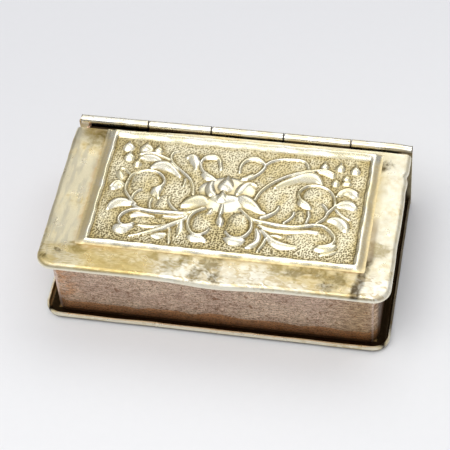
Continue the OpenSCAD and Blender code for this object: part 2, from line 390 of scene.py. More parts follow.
def lid_stains_and_light(look, rough, grain):
    """Tarnish round the plaque, a brown fan at the back left, a marbled front margin, a dark scuff, painted
    shade to the right of the plaque and a painted highlight on the lip.
    """
    ragged = 5 * (look.noise(0.45, detail=5, distortion=1) - 0.5)

    # round the plaque, apart from its back
    foot = look.outside_box((PLAQUE_X, PLAQUE_Y), (27.8, 14.9))
    clear_back = look.band(look.y, PLAQUE_HIGH[1] - 0.5, PLAQUE_HIGH[1] - 3)
    near = look.band(foot + 0.55 * ragged, 2.2, 0.2) * clear_back
    look.paint(STRAW, near, 0.6)
    close = look.band(foot + 0.3 * ragged, 1, 0.1)
    patchy = look.band(look.noise(0.12, detail=3, shift=(2, 9, 0)), 0.42, 0.6, 0.3, 0.9)
    look.paint(BROWN, close, clear_back, patchy)
    look.paint((0.62, 0.37, 0.13), near, look.band(look.x, -14, -22), 0.6)

    # the left margin, the rubbed front margin and the whiter right one
    mottle = look.band(look.noise(0.55, (0.7, 3, 1), detail=5, shift=(8, 3, 0)), 0.44, 0.62)
    look.paint((0.56, 0.51, 0.38), mottle, look.band(look.x, -27, -29.5), 0.7)
    rubbed = look.band(look.noise(3, (4, 0.7, 1), (0, 0, 4), (5, 5, 0)), 0.5, 0.6)
    look.paint((0.42, 0.31, 0.11), rubbed, look.band(look.y, -13.5, -15), 0.6)
    look.paint((0.9, 0.86, 0.73), look.band(look.x, 29.8, 31.6), look.band(grain, 0.35, 0.6, 0.7, 0.3))

    # the fan, from the hinge edge forwards
    fan = look.band(look.y + 0.8 * ragged, 12, 16.8)
    look.paint((0.3, 0.21, 0.08), fan, look.band(look.x, -34, -31), look.band(look.x, -23, -26),
               look.band(grain, 0.3, 0.6, 0.6, 0.9))

    # the front margin: white in the middle, golden at both ends, and marbled
    look.paint((0.93, 0.9, 0.79), look.band(look.y, -13.5, -16.5), look.band(look.x, -18, -8),
               look.band(grain, 0.35, 0.6, 0.85, 0.5))
    golden = look.band(look.noise(0.3, (2, 0.8, 1), detail=5, shift=(1, 1, 7)), 0.4, 0.58, 0.15, 0.7)
    ends = look.most(look.band(look.x, -8, -12), look.band(look.x, 9, 14))
    look.paint((0.6, 0.46, 0.18), golden, ends, look.band(look.y, -13.5, -15.5),
               look.band(look.z, LID_TOP - 0.9, LID_TOP - 0.3), look.band(look.x, 29.5, 27.5))
    marbling = look.noise(0.8, (1.6, 0.8, 1), (0, 0, -12), (3, 8, 0), detail=5, distortion=1)
    look.paint((0.5, 0.36, 0.13), look.band(marbling, 0.5, 0.6), look.band(look.y, -14, -15),
               look.band(look.x, -30, -20, 0.25, 0.8), 0.7)

    # single stains, which are rougher than the plate
    grains = look.band(look.noise(1.3, shift=(6, 6, 0)), 0.38, 0.58, 0.5, 1)
    for x, y, reach, depth in LID_STAINS:
        edge = ragged * min(1, 0.3 + reach * 0.4)
        blot = look.spot(x, y, 1.15 * reach, edge) * grains
        tint = tuple(o + (u - o) * depth for o, u in zip(OLIVE, UMBER))
        look.paint(tint, blot, 0.55 + 0.35 * depth)
        rough += 0.12 * blot

    # the diagonal scuff at the front right, and painted shade in a brown strip to the right of the plaque
    slant = look.x - 0.17 * (look.y + 14)
    scuff = look.band(look.away(slant + 0.3 * ragged, 29.2), 1.35, 0.5)
    look.paint(UMBER, scuff, look.band(look.y, -8, -11.5), look.band(grain, 0.35, 0.6, 0.55, 0.9))
    # painted shade along the right-hand foot of the plaque
    beside = look.band(look.away(look.x, 29.9), 1.1, 0.4)
    look.paint((0.28, 0.2, 0.13), beside, look.band(look.y, -12, -9), look.band(look.y, 2, -3), 0.55)

    # the lip: brighter as a painted highlight, and duller (rougher) than the flat
    lip = look.band(look.z, LID_TOP - 0.35, LID_TOP - 0.9)
    # painted highlight on the lip's turned edge
    look.paint((0.99, 0.95, 0.81), lip, 0.85)
    return rough + 0.2 * lip


def base_stains_and_light(look, rough, grain):
    """Painted shade, near black, in the trough outside the wall, dull brass inside it, golden blotches on the
    lip, a painted highlight on its outer turn, and painted shade on the right lip and along the lip's bottom.
    """
    blotch = look.band(look.noise(0.5, shift=(9, 2, 0)), 0.52, 0.66)
    look.paint(STRAW, blotch, 0.6)
    past_trough = look.outside_box((0, 0), (34, 19.1))
    # painted highlight: the outer turn of the lip whiter
    look.paint((0.94, 0.9, 0.76), look.band(past_trough, 0.5, 0.75, 0, 0.65))
    look.paint(STRAW, blotch, look.band(look.x, 18, 30, 0.25, 0.7))
    top_face = look.band(look.z, 0.2, 0.4)
    # painted shade: near black on the top face inside the lip, in the trough; the dull brass below covers it
    # again inside the wall
    look.paint((0.02, 0.012, 0.005), look.band(past_trough, 0.5, -0.1), top_face)
    past_wall = look.outside_box((WALL_HIGH + WALL_LOW) / 2, (WALL_HIGH - WALL_LOW) / 2)
    dull = look.mix(look.band(grain, 0.4, 0.6), (0.34, 0.24, 0.1), (0.22, 0.14, 0.06))
    look.paint(dull, look.band(past_wall, -0.3, -0.5), top_face)
    # painted shade: the right-hand lip dark, more so towards the back
    look.paint(UMBER, look.band(look.x, 33.6, 34.4), look.band(look.y, -17.5, -14, 0.15, 0.85))
    # painted shade: a dark line along the bottom of the lip's outer turn
    look.paint(UMBER, look.band(look.z, 1, 0.7), look.band(past_trough, 0.3, 0.6), 0.9)
    return rough


def spine_stains(look, rough, _grain):
    """Vertical streaks of tarnish, heavier along the bottom and under the hinge."""
    streak = look.noise(0.5, (1, 1, 6), shift=(4, 0, 7))
    look.paint(STRAW, look.band(streak, 0.5, 0.68), 0.5)
    low = look.band(look.z + 4 * streak, 4.5, 2)
    high = look.band(look.z + 3 * streak, 16.2, 18)
    look.paint(BROWN, look.most(low, high), 0.65)
    return rough


# (fineness, stretch, turn, edge) of the fine dark marks on the copper
COPPER_MARKS = [(6, (8, 8, 0.35), (0, 0, 0), 0.59), (4.5, (2, 2, 0.5), (0, 24, 0), 0.61),
                (4, (1.8, 1.8, 0.5), (0, -31, 0), 0.62), (4.4, (2.6, 2.6, 0.4), (0, 8, 0), 0.6)]


def copper_look():
    """Copper with level scratches and brown tarnish towards the bottom and the left corner, a painted golden
    reflection on its right part, painted highlights down its front corners, and painted shade along its foot
    and on its right side.
    """
    look = Shader("copper_wall_look", 0.9)
    cloud = look.noise(0.12, shift=(5, 1, 2), distortion=0.5)
    level = look.noise(2, (3, 3, 0.9))
    look.tone = look.mix(look.band(cloud, 0.4, 0.62), COPPER, (0.86, 0.67, 0.51))
    look.paint((0.28, 0.16, 0.09), look.band(level, 0.5, 0.66), 0.34)
    look.paint((0.94, 0.76, 0.6), look.band(level, 0.48, 0.36), 0.4)
    # painted reflection: golden-brown streaks over the right part of the wall
    golden = look.mix(look.band(level, 0.4, 0.6), (0.62, 0.43, 0.22), (0.4, 0.26, 0.12))
    look.paint(golden, look.band(look.x, 20, 30), look.band(cloud, 0.3, 0.6, 0.6, 1), 0.75)
    dents = look.band(look.noise(0.5, shift=(7, 7, 1), distortion=1.2), 0.6, 0.7)
    look.paint(RUST, dents, 0.75)
    patches = look.band(look.noise(0.4), 0.42, 0.58, 0.2, 0.9)
    left = look.band(look.x, -25, -30.5) * patches * look.band(look.y, -15, -16.5, 0.3, 1)
    low = look.band(look.z + 3 * cloud, 5.5, 5.1)
    look.paint((0.7, 0.33, 0.13), look.most(low, left), 0.8)
    # painted shade: near black along the foot of the wall, in the trough
    look.paint(UMBER, look.band(look.z, 1.5, 0.9), 0.85)
    # painted highlights down the two front corners
    for corner_x, half, strength in ((-31.95, 0.5, 0.75), (31.6, 0.3, 0.6)):
        look.paint((0.88, 0.72, 0.62), look.band(look.away(look.x, corner_x), half, half * 0.3), strength)
    # painted shade: the right-hand side of the wall dark
    look.paint((0.07, 0.045, 0.03), look.band(look.x, 32.2, 32.75), 0.85)
    marks = look.most(*(
        look.band(look.noise(fineness, stretch, turn, (k, 2 * k, 5), detail=1), edge, edge + 0.06)
        for k, (fineness, stretch, turn, edge) in enumerate(COPPER_MARKS)))
    look.paint((0.16, 0.09, 0.055), marks, 0.75)
    pits = look.band(look.noise(2.8, detail=3, shift=(2, 2, 2)), 0.58, 0.68)
    look.paint(RUST, pits, 0.8)
    look.bump(look.noise(0.25, detail=2), 0.14, 0.5)
    look.bump(level, 0.03, 0.6)
    look.dent(marks, 0.02, 0.8)
    look.dent(pits, 0.05, 0.8)
    return look.finish(look.band(level, 0.3, 0.7, 0.3, 0.5))


def tube_look():
    """The hinge tubes: pale, brown in the seams, and with painted shade along the side that faces down and
    back.
    """
    look = Shader("hinge_tube_look", 1)
    cloud = look.noise(0.3, shift=(2, 7, 1))
    look.tone = look.mix(look.band(cloud, 0.4, 0.6), (0.93, 0.9, 0.79), (0.86, 0.77, 0.56))
    lean = 0.6                      # the brown side faces down and back
    height = look.z - lean * look.y + 0.5 * cloud
    middle = AXIS_Z - lean * AXIS_Y
    # painted shade: the side of the tube that faces down and back darker
    look.paint((0.36, 0.25, 0.11), look.band(height, middle + 0.55, middle - 0.35), 0.85)
    look.paint(OLIVE, look.band(look.noise(1.2, shift=(3, 3, 9)), 0.62, 0.7), 0.35)
    look.paint(UMBER, look.band(look.attribute("end"), 0.35, 0.9), 0.95)
    look.bump(look.noise(0.7, (1.6, 1, 1), detail=2), 0.05, 0.5)
    look.bump(look.noise(5, (0.08, 1, 1), detail=1), 0.004, 0.4)
    return look.finish(look.band(look.noise(0.9, detail=3), 0.3, 0.7, 0.22, 0.38))


def inner_look():
    """Unpolished brass of the rim and strips inside the box, with painted shade, black, close under the
    hinge.
    """
    look = Shader("inner_brass_look", 1)
    cloud = look.noise(0.25, detail=5)
    look.tone = look.mix(look.band(cloud, 0.35, 0.65), (0.6, 0.46, 0.22), (0.42, 0.29, 0.12))
    look.paint(UMBER, look.band(look.noise(1.5), 0.55, 0.7), 0.6)
    # painted shade: black in the gap behind the lid's back edge, under the hinge
    look.paint((0.03, 0.018, 0.008), look.band(look.y, LID_HIGH[1] - 0.9, LID_HIGH[1] - 0.5))
    look.bump(look.noise(2.2, (4, 4, 0.6), detail=3), 0.02, 0.7)
    return look.finish(look.band(cloud, 0.3, 0.7, 0.36, 0.55))


def wire_look():
    """Drawn steel wire."""
    look = Shader("pin_wire_look", 1)
    grain = look.noise(6, (0.2, 1, 1), detail=2)
    look.tone = look.mix(look.band(grain, 0.4, 0.6), (0.5, 0.49, 0.46), (0.3, 0.28, 0.25))
    look.bump(grain, 0.006, 0.6)
    return look.finish(0.35)


def plaque_look():
    """Stamped brass: polished on the raised work, punched and tarnished on the ground, with painted shade and
    tarnish in the hollows round the raised work.
    """
    look = Shader("plaque_look", 1)
    matte = look.attribute("matte")
    cloud = look.noise(0.16, distortion=0.8, shift=(1, 4, 0))
    grain = look.noise(2.4)
    polished = look.mix(look.band(cloud, 0.4, 0.62), (0.9, 0.85, 0.7), (0.85, 0.77, 0.52))
    ground = look.mix(look.band(cloud, 0.36, 0.6), (0.65, 0.55, 0.3), (0.83, 0.76, 0.54))
    look.tone = look.mix(matte, polished, ground)
    # painted shade with tarnish in the wide hollows of the relief
    look.paint((0.4, 0.3, 0.1), look.band(look.attribute("broad"), 0, 0.2), 0.7)
    front = look.band(look.y + 10 * (cloud - 0.5), PLAQUE_Y - 6.5, PLAQUE_Y - 12.5)
    pocks = look.band(look.attribute("punch"), -0.004, look.band(front, 0, 1, -0.045, -0.022))
    look.paint((0.15, 0.115, 0.05), pocks, look.band(front, 0, 1, 0.88, 0.96))
    # painted shade with tarnish in the small hollows round the raised work
    hollow = look.attribute("hollow") + 0.05 * (grain - 0.5)
    look.paint((0.22, 0.16, 0.055), look.band(hollow, 0.03, 0.15), 0.7)
    past_crest = look.outside_box((PLAQUE_X, PLAQUE_Y), (26.6, 14.4))
    foot = look.band(past_crest, 0.2, 0.9) * look.band(look.y, PLAQUE_HIGH[1] - 1, PLAQUE_HIGH[1] - 3)
    look.paint((0.8, 0.65, 0.36), foot, look.band(grain, 0.3, 0.6, 0.3, 0.8))
    rough = look.band(matte, 0, 1, 0.22, 0.34) + 0.08 * grain
    look.bump(look.noise(1.2, detail=3), 0.05, 0.5)
    look.bump(look.noise(4, detail=1) * matte, 0.05, 0.7)
    on_top = look.band(look.attribute("relief"), 0.4, 0.8)
    look.dent(look.scratches((12, -34, 61), 4) * on_top, 0.01, 0.6)
    return look.finish(rough + 0.18 * foot)


# ---------------- lid and base sheets

def lid_bend(points):
    """The lid's waves and dents: a sagging front lip, a hinge edge that dips and comes forward at the back
    left, and nicks in the right side.
    """
    x, y = points[:, 0], points[:, 1]
    move = np.zeros_like(points)
    away = np.maximum(np.abs(x - PLAQUE_X) - 28.2, np.abs(y - PLAQUE_Y) - 15.9)
    free = smoothstep(0.0, 2.5, away)
    front = smoothstep(LID_LOW[1] + 5.0, LID_LOW[1], y)
    back_left = smoothstep(13.5, 17.7, y) * smoothstep(-6.0, -30.0, x)
    right = smoothstep(31.0, 35.0, x)
    low_wave = wander(points * (1, 1, 0), 14.0, 3.0)
    short_wave = wander(points * (1, 1, 0), 5.0, 11.0)
    move[:, 2] += free * (0.16 * low_wave + 0.06 * short_wave)
    move[:, 1] -= front * (0.45 * bell(x, 1.0, 7.0) + 0.10 * low_wave)
    move[:, 2] -= front * (0.30 * bell(x, 1.0, 9.0) - 0.12 * bell(x, 25.0, 8.0))
    move[:, 2] -= back_left * 0.45
    move[:, 1] -= back_left * 0.55 * smoothstep(16.0, 17.7, y)
    move[:, 0] -= right * (0.35 * bell(y, 12.2, 0.8) + 0.15 * bell(y, 8.0, 1.4) + 0.12 * bell(y, -6.0, 3.0))
    move[:, 0] += smoothstep(-31.0, -35.0, x) * 0.15 * short_wave
    return move


def base_bend(points):
    """Slight waves along the base's lip, which keep clear of the table."""
    x, y, z = points.T
    move = np.zeros_like(points)
    rim = smoothstep(0.25, 1.3, z)
    wave = wander(points * (1, 1, 0), 9.0, 21.0)
    move[:, 2] += rim * 0.10 * wave
    move[:, 1] += rim * smoothstep(-15.0, -20.0, y) * 0.12 * wave
    move[:, 0] += rim * smoothstep(31.0, 35.0, np.abs(x)) * 0.10 * wave * np.sign(x)
    return move


lid_sheet = lipped_sheet("lid_sheet", LID_LOW, LID_HIGH, LID_TOP, -1, lid_bend)
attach(lid_sheet, "lid")
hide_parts("lid_cover")
lid_sheet.data.materials.append(worn_plate("lid_look", lid_stains_and_light))

base_sheet = lipped_sheet("base_sheet", BASE_LOW, BASE_HIGH, BASE_LOW[2], 1, base_bend)
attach(base_sheet, "box")
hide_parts("base_tray")
base_sheet.data.materials.append(worn_plate("base_look", base_stains_and_light))


# ---------------- copper wall

TUBE_ROOM = 1.2      # how far the wall stays from the hinge axis
WALL_PITCH = 0.6     # distance between the wall's points along its length
WALL_ROWS = 25
EDGE_BAND = 2.0      # how wide the band is along an edge in which the hollows fade


def wall_strip():
    """The U-shaped copper strip, with the slight hollows of hand-bent sheet."""
    half_w, front, back = WALL_HIGH[0], WALL_LOW[1], WALL_HIGH[1]
    stations, _, _ = outline_stations(half_w, front, back, WALL_CORNER_R, WALL_PITCH)
    heights = np.linspace(WALL_LOW[2], WALL_HIGH[2], WALL_ROWS)
    outer, inner = [], []
    for (gx, gy), (ox, oy) in stations:
        for z in heights:
            outer.append((gx + ox * WALL_CORNER_R, gy + oy * WALL_CORNER_R, z))
            inner.append((gx + ox * (WALL_CORNER_R - WALL_T), gy + oy * (WALL_CORNER_R - WALL_T), z))
    faces = grid_faces(len(stations), len(heights))
    outer, inner = np.array(outer), np.array(inner)
    outward = outer - inner
    outward /= np.linalg.norm(outward, axis=1)[:, None]
    # no hollows along the top and the bottom edge
    from_edge = np.minimum(outer[:, 2] - WALL_LOW[2], WALL_HIGH[2] - outer[:, 2])
    held = smoothstep(0.0, EDGE_BAND, from_edge)
    # the side walls stop short of the hinge tube, as the CAD strip does
    near_tube = (outer[:, 1] > AXIS_Y - TUBE_ROOM) & (outer[:, 2] > AXIS_Z - TUBE_ROOM)
    outer[near_tube, 2] = inner[near_tube, 2] = AXIS_Z - TUBE_ROOM
    swell = (0.11 * wander(outer, 11.0, 5.0) + 0.035 * wander(outer, 3.0, 9.0)) * held
    move = outward * swell[:, None]
    points, closed = thick_sheet(faces, outer + move, inner + move)
    return make_object("wall_strip", points, closed)


wall = wall_strip()
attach(wall, "box")
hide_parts("wall_band")
wall.data.materials.append(copper_look())


# ---------------- hinge tubes

BORE_R = 0.48        # radius of the bore
SOFT = 0.08          # radius of the softened rims
RING_PITCH = 0.3     # distance between the rings of points
AROUND = 40          # points in a ring
PINCH_L = 4.0        # how much of the right-hand tube is pinched
PINCH_Y = 0.12       # how much narrower and flatter its end is
PINCH_Z = 0.34
SEAM_L = 0.16        # how far the tarnish in a seam runs along the tube


def hinge_tube(name, node, pinch_right=False):
    """One knuckle: a drawn tube with softened ends and small dents, and its bore."""
    low, high = box_mm(node)
    radius = (high[2] - low[2]) / 2
    corner = np.linspace(0, math.pi / 2, 4)
    left = [(low[0] + SOFT * (1 - math.sin(a)), radius - SOFT * (1 - math.cos(a))) for a in corner[::-1]]
    right = [(high[0] - SOFT * (1 - math.sin(a)), radius - SOFT * (1 - math.cos(a))) for a in corner]
    along = [(x, radius) for x in np.arange(low[0] + SOFT + RING_PITCH, high[0] - SOFT - 0.1, RING_PITCH)]
    profile = [(low[0], BORE_R)] + left + along + right + [(high[0], BORE_R)]
    points, faces = [], []
    for x, r in profile:
        for k in range(AROUND):
            a = 2 * math.pi * k / AROUND
            points.append((x, AXIS_Y + r * math.cos(a), AXIS_Z + r * math.sin(a)))
    rings = len(profile)
    for i in range(rings):
        j = (i + 1) % rings
        for k in range(AROUND):
            m = (k + 1) % AROUND
            faces.append([i * AROUND + k, i * AROUND + m, j * AROUND + m, j * AROUND + k])
    points = np.array(points)
    arm = points - np.array([0, AXIS_Y, AXIS_Z])
    arm[:, 0] = 0
    reach = np.linalg.norm(arm, axis=1)
    dents = 0.035 * wander(points, 2.2, low[0]) + 0.02 * wander(points, 0.9, low[0] + 7)
    dents = np.minimum(dents, 0.0) * smoothstep(BORE_R + 0.15, radius, reach)
    points += arm * (dents / reach)[:, None]
    if pinch_right:
        s = smoothstep(high[0] - PINCH_L, high[0], points[:, 0]) * smoothstep(BORE_R, radius, reach)
        points[:, 2] -= (points[:, 2] - AXIS_Z) * PINCH_Z * s
        points[:, 1] -= (points[:, 1] - AXIS_Y) * PINCH_Y * s
    tube = make_object(name, points, faces)
    from_end = np.minimum(points[:, 0] - low[0], high[0] - points[:, 0])
    add_layer(tube, "end", smoothstep(SEAM_L, 0.03, from_end))
    return tube


tube_material = tube_look()
for number in range(1, 6):
    knuckle = f"knuckle_{number}"
    tube = hinge_tube(f"hinge_tube_{number}", knuckle, pinch_right=number == 5)
    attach(tube, "lid" if number in (2, 4) else "box")
    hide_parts(knuckle)
    tube.data.materials.append(tube_material)


# ---------------- plaque
# A stroke is its height above the ground and its path, whose points are (x, y, half-width), measured from the
# plaque's middle.

RIBBON = 0.3


def thin(*points):
    return [(x, y, RIBBON) for x, y in points]


# domed, punched fields inside the scrolls and the heart
FIELDS = [
    (0.4, [(-18.9, 1.6, 1.9), (-18.5, 2.7, 2.3), (-17.4, 2.6, 2)]),
    (0.4, [(16.1, 2, 1.9), (16.7, 2.9, 2.3), (17.7, 2.4, 2)]),
    (0.26, [(-4.8, -7.6, 1.5), (-4.8, -6, 1.6)]),
    (0.3, [(2.2, -7.4, 1.9), (2.2, -5.4, 1.7)]),
    (0.28, [(-13.7, -3.4, 1), (-13.4, -1.6, 0.8)]),
    (0.26, [(14.3, -3.6, 0.8), (14.1, -2, 0.7)]),
    (0.26, [(-18, -7.8, 0.6), (-15.6, -7.6, 0.8), (-12.6, -7.6, 0.6)]),
    (0.26, [(13, -8.4, 0.5), (16, -8, 0.9), (19.2, -7.6, 0.9)]),
]

SCROLLS = [
    # left scroll, then the thick stem that it runs into
    (0.6, thin((-14.8, 1), (-14.35, 2), (-14.3, 3), (-14.8, 4), (-15.8, 4.8), (-17.2, 5.2), (-18.6, 5.1),
     (-20, 4.5), (-21.2, 3.6), (-21.6, 2.4), (-21.8, 1), (-21.8, 0), (-21.4, -1), (-20.7, -2), (-19.9, -3),
     (-18.8, -4))),
    (0.66, [(-19.4, -4.2, 0.3), (-18, -4.9, 0.42), (-16.5, -5.3, 0.5), (-14.5, -5.35, 0.52),
     (-12.5, -5.3, 0.5), (-10.5, -5.2, 0.44), (-9, -5.1, 0.42), (-7.6, -4.7, 0.38), (-6.4, -4, 0.34),
     (-5.3, -3.2, 0.3)]),
    (0.66, [(-14.6, 1.5, 0.35), (-15.1, 0.7, 0.75), (-15.5, -0.2, 0.95), (-15, -1.1, 0.5),
     (-14.6, -1.8, 0.2)]),
    # right scroll and stem
    (0.6, thin((15, 0.2), (14.2, 1), (13.4, 2), (13.1, 3), (13.4, 4), (14.2, 4.8), (15.4, 5.3), (16.8, 5.4),
     (18.2, 5), (19.4, 4.2), (20.2, 3), (20.6, 1.6), (20.6, 0.4), (20, -0.6), (19.4, -1.7), (19.2, -2.6),
     (18.6, -3.5), (17.6, -4.4))),
    (0.66, [(17.9, -4.6, 0.32), (16.2, -5.1, 0.48), (14.2, -5.65, 0.5), (12.2, -5.85, 0.48),
     (10.2, -5.8, 0.54), (8.2, -5.5, 0.44), (6.2, -5.2, 0.4), (5, -4.8, 0.36), (3.8, -4, 0.32),
     (2.4, -2.8, 0.3)]),
    (0.66, [(13.6, 1.5, 0.35), (14.1, 0.7, 0.8), (14.9, 0.1, 0.8), (15.9, -0.6, 0.35)]),
    # tendrils inside the scrolls
    (0.46, thin((-18.6, 0), (-19.4, -0.7), (-19.9, -1.6), (-19.9, -2.6))),
    (0.46, thin((-15.9, -2), (-16.1, -3), (-15.9, -4.2), (-15.6, -5))),
    (0.48, thin((-12.3, -1), (-12.4, -2.1), (-11.9, -3.1), (-11, -4.1), (-9.8, -4.9))),
    (0.46, thin((18.3, 0.7), (19, 0), (19.4, -0.9), (19.4, -1.8))),
    (0.46, thin((15.7, -1.4), (15.95, -2.6), (15.75, -3.8), (15.6, -5))),
    (0.46, thin((12.9, -2), (12.8, -3), (12.2, -4), (11.3, -5))),
    (0.55, [(9.7, -0.8, 0.26), (9.5, -1.8, 0.34), (8.8, -2.8, 0.42), (7.8, -3.6, 0.5), (6.6, -4.2, 0.42)]),
    # ribbons of the upper crescents
    (0.46, thin((-7.9, 0.2), (-8.1, 1.5), (-8.5, 2.8), (-9.2, 4), (-10.2, 5), (-11.4, 6), (-12.6, 7),
     (-13.6, 8), (-14.1, 9), (-14.2, 10), (-13.8, 10.8), (-12.9, 11.2))),
    (0.4, thin((-20.6, 9.5), (-19.3, 9.9), (-18, 10.1), (-16.6, 9.7), (-15.2, 9.1), (-14.2, 8.7))),
    (0.58, [(4.7, 0.2, 0.3), (5, 1.4, 0.32), (5.5, 2.6, 0.34), (6.4, 3.9, 0.36), (7.4, 5, 0.36),
     (8.6, 6, 0.36), (9.8, 6.9, 0.36), (11.2, 7.7, 0.36), (12.6, 8.4, 0.34), (13.9, 9, 0.34),
     (15.3, 9.3, 0.32), (16.8, 9.7, 0.3), (18.2, 9.6, 0.3), (19.4, 8.9, 0.3)]),
    (0.42, thin((5.4, 9.8), (6.1, 10.6), (7.1, 11.2), (8.3, 11.6), (9.8, 11.8), (11.6, 11.9), (13, 11.6),
     (13.8, 10.8), (14.1, 9.9), (14.2, 9.2))),
    # small loops above the flower
    (0.6, [(-3.5, 7.5, 0.35), (-3.8, 8.6, 0.32), (-4.2, 9.8, 0.4), (-5, 10.4, 0.6), (-6, 10.5, 0.65),
     (-7, 10.2, 0.5), (-7.7, 9.5, 0.32), (-7.9, 8.6, 0.3), (-7.6, 7.5, 0.3), (-7, 6.5, 0.32),
     (-6.2, 5.9, 0.34), (-5, 5.2, 0.36)]),
    (0.6, [(0.4, 7.2, 0.28), (0.3, 8.4, 0.3), (0.6, 9.6, 0.36), (1.3, 10.5, 0.46), (2.3, 11, 0.6),
     (3.4, 11, 0.6), (4.4, 10.5, 0.46), (5.1, 9.8, 0.32), (5.2, 9, 0.3), (4.8, 8, 0.32), (4.1, 7, 0.34),
     (3.2, 6.1, 0.38), (2.2, 5.5, 0.45)]),
    # heart-shaped pair of curls under the flower
    (0.6, [(-4.9, -3.2, 0.3), (-5.8, -3.8, 0.32), (-6.8, -4.6, 0.34), (-7.4, -5.6, 0.34),
     (-7.6, -6.8, 0.34), (-7.4, -8, 0.34), (-6.8, -9.2, 0.36), (-6, -10, 0.4), (-5, -10.2, 0.42),
     (-4, -9.7, 0.34), (-3.4, -9, 0.28), (-3.1, -8.1, 0.22)]),
    (0.6, [(2.2, -2.6, 0.3), (3.2, -3.5, 0.32), (4.2, -4.4, 0.34), (4.9, -5.4, 0.34), (5.1, -6.6, 0.34),
     (5, -7.8, 0.36), (4.4, -9, 0.38), (3.6, -9.8, 0.4), (2.6, -10.1, 0.42), (1.5, -9.8, 0.34),
     (0.7, -9.2, 0.28), (0.2, -8.5, 0.22)]),
    # lower hooks
    (0.58, [(-17.6, -5.2, 0.4), (-19, -5.3, 0.36), (-20.2, -5.9, 0.34), (-21.1, -6.8, 0.34),
     (-21.45, -7.8, 0.34), (-21.2, -8.8, 0.34), (-20.4, -9.5, 0.36), (-19.4, -9.5, 0.36),
     (-18.3, -8.9, 0.3)]),
    (0.58, [(17.4, -4.8, 0.4), (18.8, -4.75, 0.38), (20, -5.3, 0.36), (21, -6.2, 0.34), (21.7, -7.2, 0.34),
     (21.8, -8.2, 0.34), (21.3, -9.1, 0.34), (20.2, -9.7, 0.36), (18.8, -10, 0.3)]),
    (0.5, [(-12.7, -6.3, 0.25), (-11, -6.3, 0.38), (-9.6, -6.1, 0.42), (-8.3, -5.5, 0.4)]),
    (0.52, [(6.5, -6.1, 0.3), (8, -6.8, 0.44), (10, -7.1, 0.46), (12, -7.1, 0.46), (14.5, -6.9, 0.5),
     (16.5, -6.6, 0.5), (18.2, -6.7, 0.6)]),
    # ribs below the stems
    (0.58, [(-18.6, -12.1, 0.15), (-17, -11.6, 0.25), (-15.2, -10.8, 0.42), (-13.4, -9.9, 0.5),
     (-11.8, -9, 0.58), (-10.6, -8.1, 0.52), (-9.4, -7.3, 0.45), (-8.4, -6.5, 0.38), (-7.8, -5.5, 0.3)]),
    (0.54, [(-10.8, -9.4, 0.28), (-10.6, -11, 0.36), (-10.35, -12.4, 0.3), (-10.2, -12.9, 0.2)]),
    (0.54, [(8.4, -9.4, 0.3), (8.1, -10.8, 0.36), (7.6, -12, 0.3), (7.3, -12.8, 0.2)]),
    (0.34, [(-17.3, -9, 0.2), (-15.2, -9.2, 0.4), (-13.4, -9, 0.36), (-11.6, -8.2, 0.25)]),
    (0.34, [(8.8, -8.6, 0.2), (10.2, -8.35, 0.28), (11.5, -8.6, 0.2)]),
    (0.32, thin((22.4, -10.9), (21.2, -11.6), (19.6, -12))),
    # outlines of the leaves outside the scrolls
    (0.44, thin((-24.9, 0.2), (-24.4, 1.3), (-23.6, 1.7), (-22.8, 1.4), (-22.1, 0.6))),
    (0.38, thin((-23.7, 5.3), (-22.7, 5), (-21.9, 4.2), (-21.3, 3.7))),
    (0.46, thin((20.8, 3.2), (21.1, 4.3), (22, 5.1), (23, 5.4), (24, 5.1), (24.7, 4.4))),
    (0.46, thin((20.9, 0.5), (21.6, 1.5), (22.6, 2.1), (23.6, 2.1), (24.5, 1.4), (24.9, 0.6))),
    (0.3, thin((21.1, -0.3), (21.9, -1.2), (23, -2), (24, -2.5))),
]

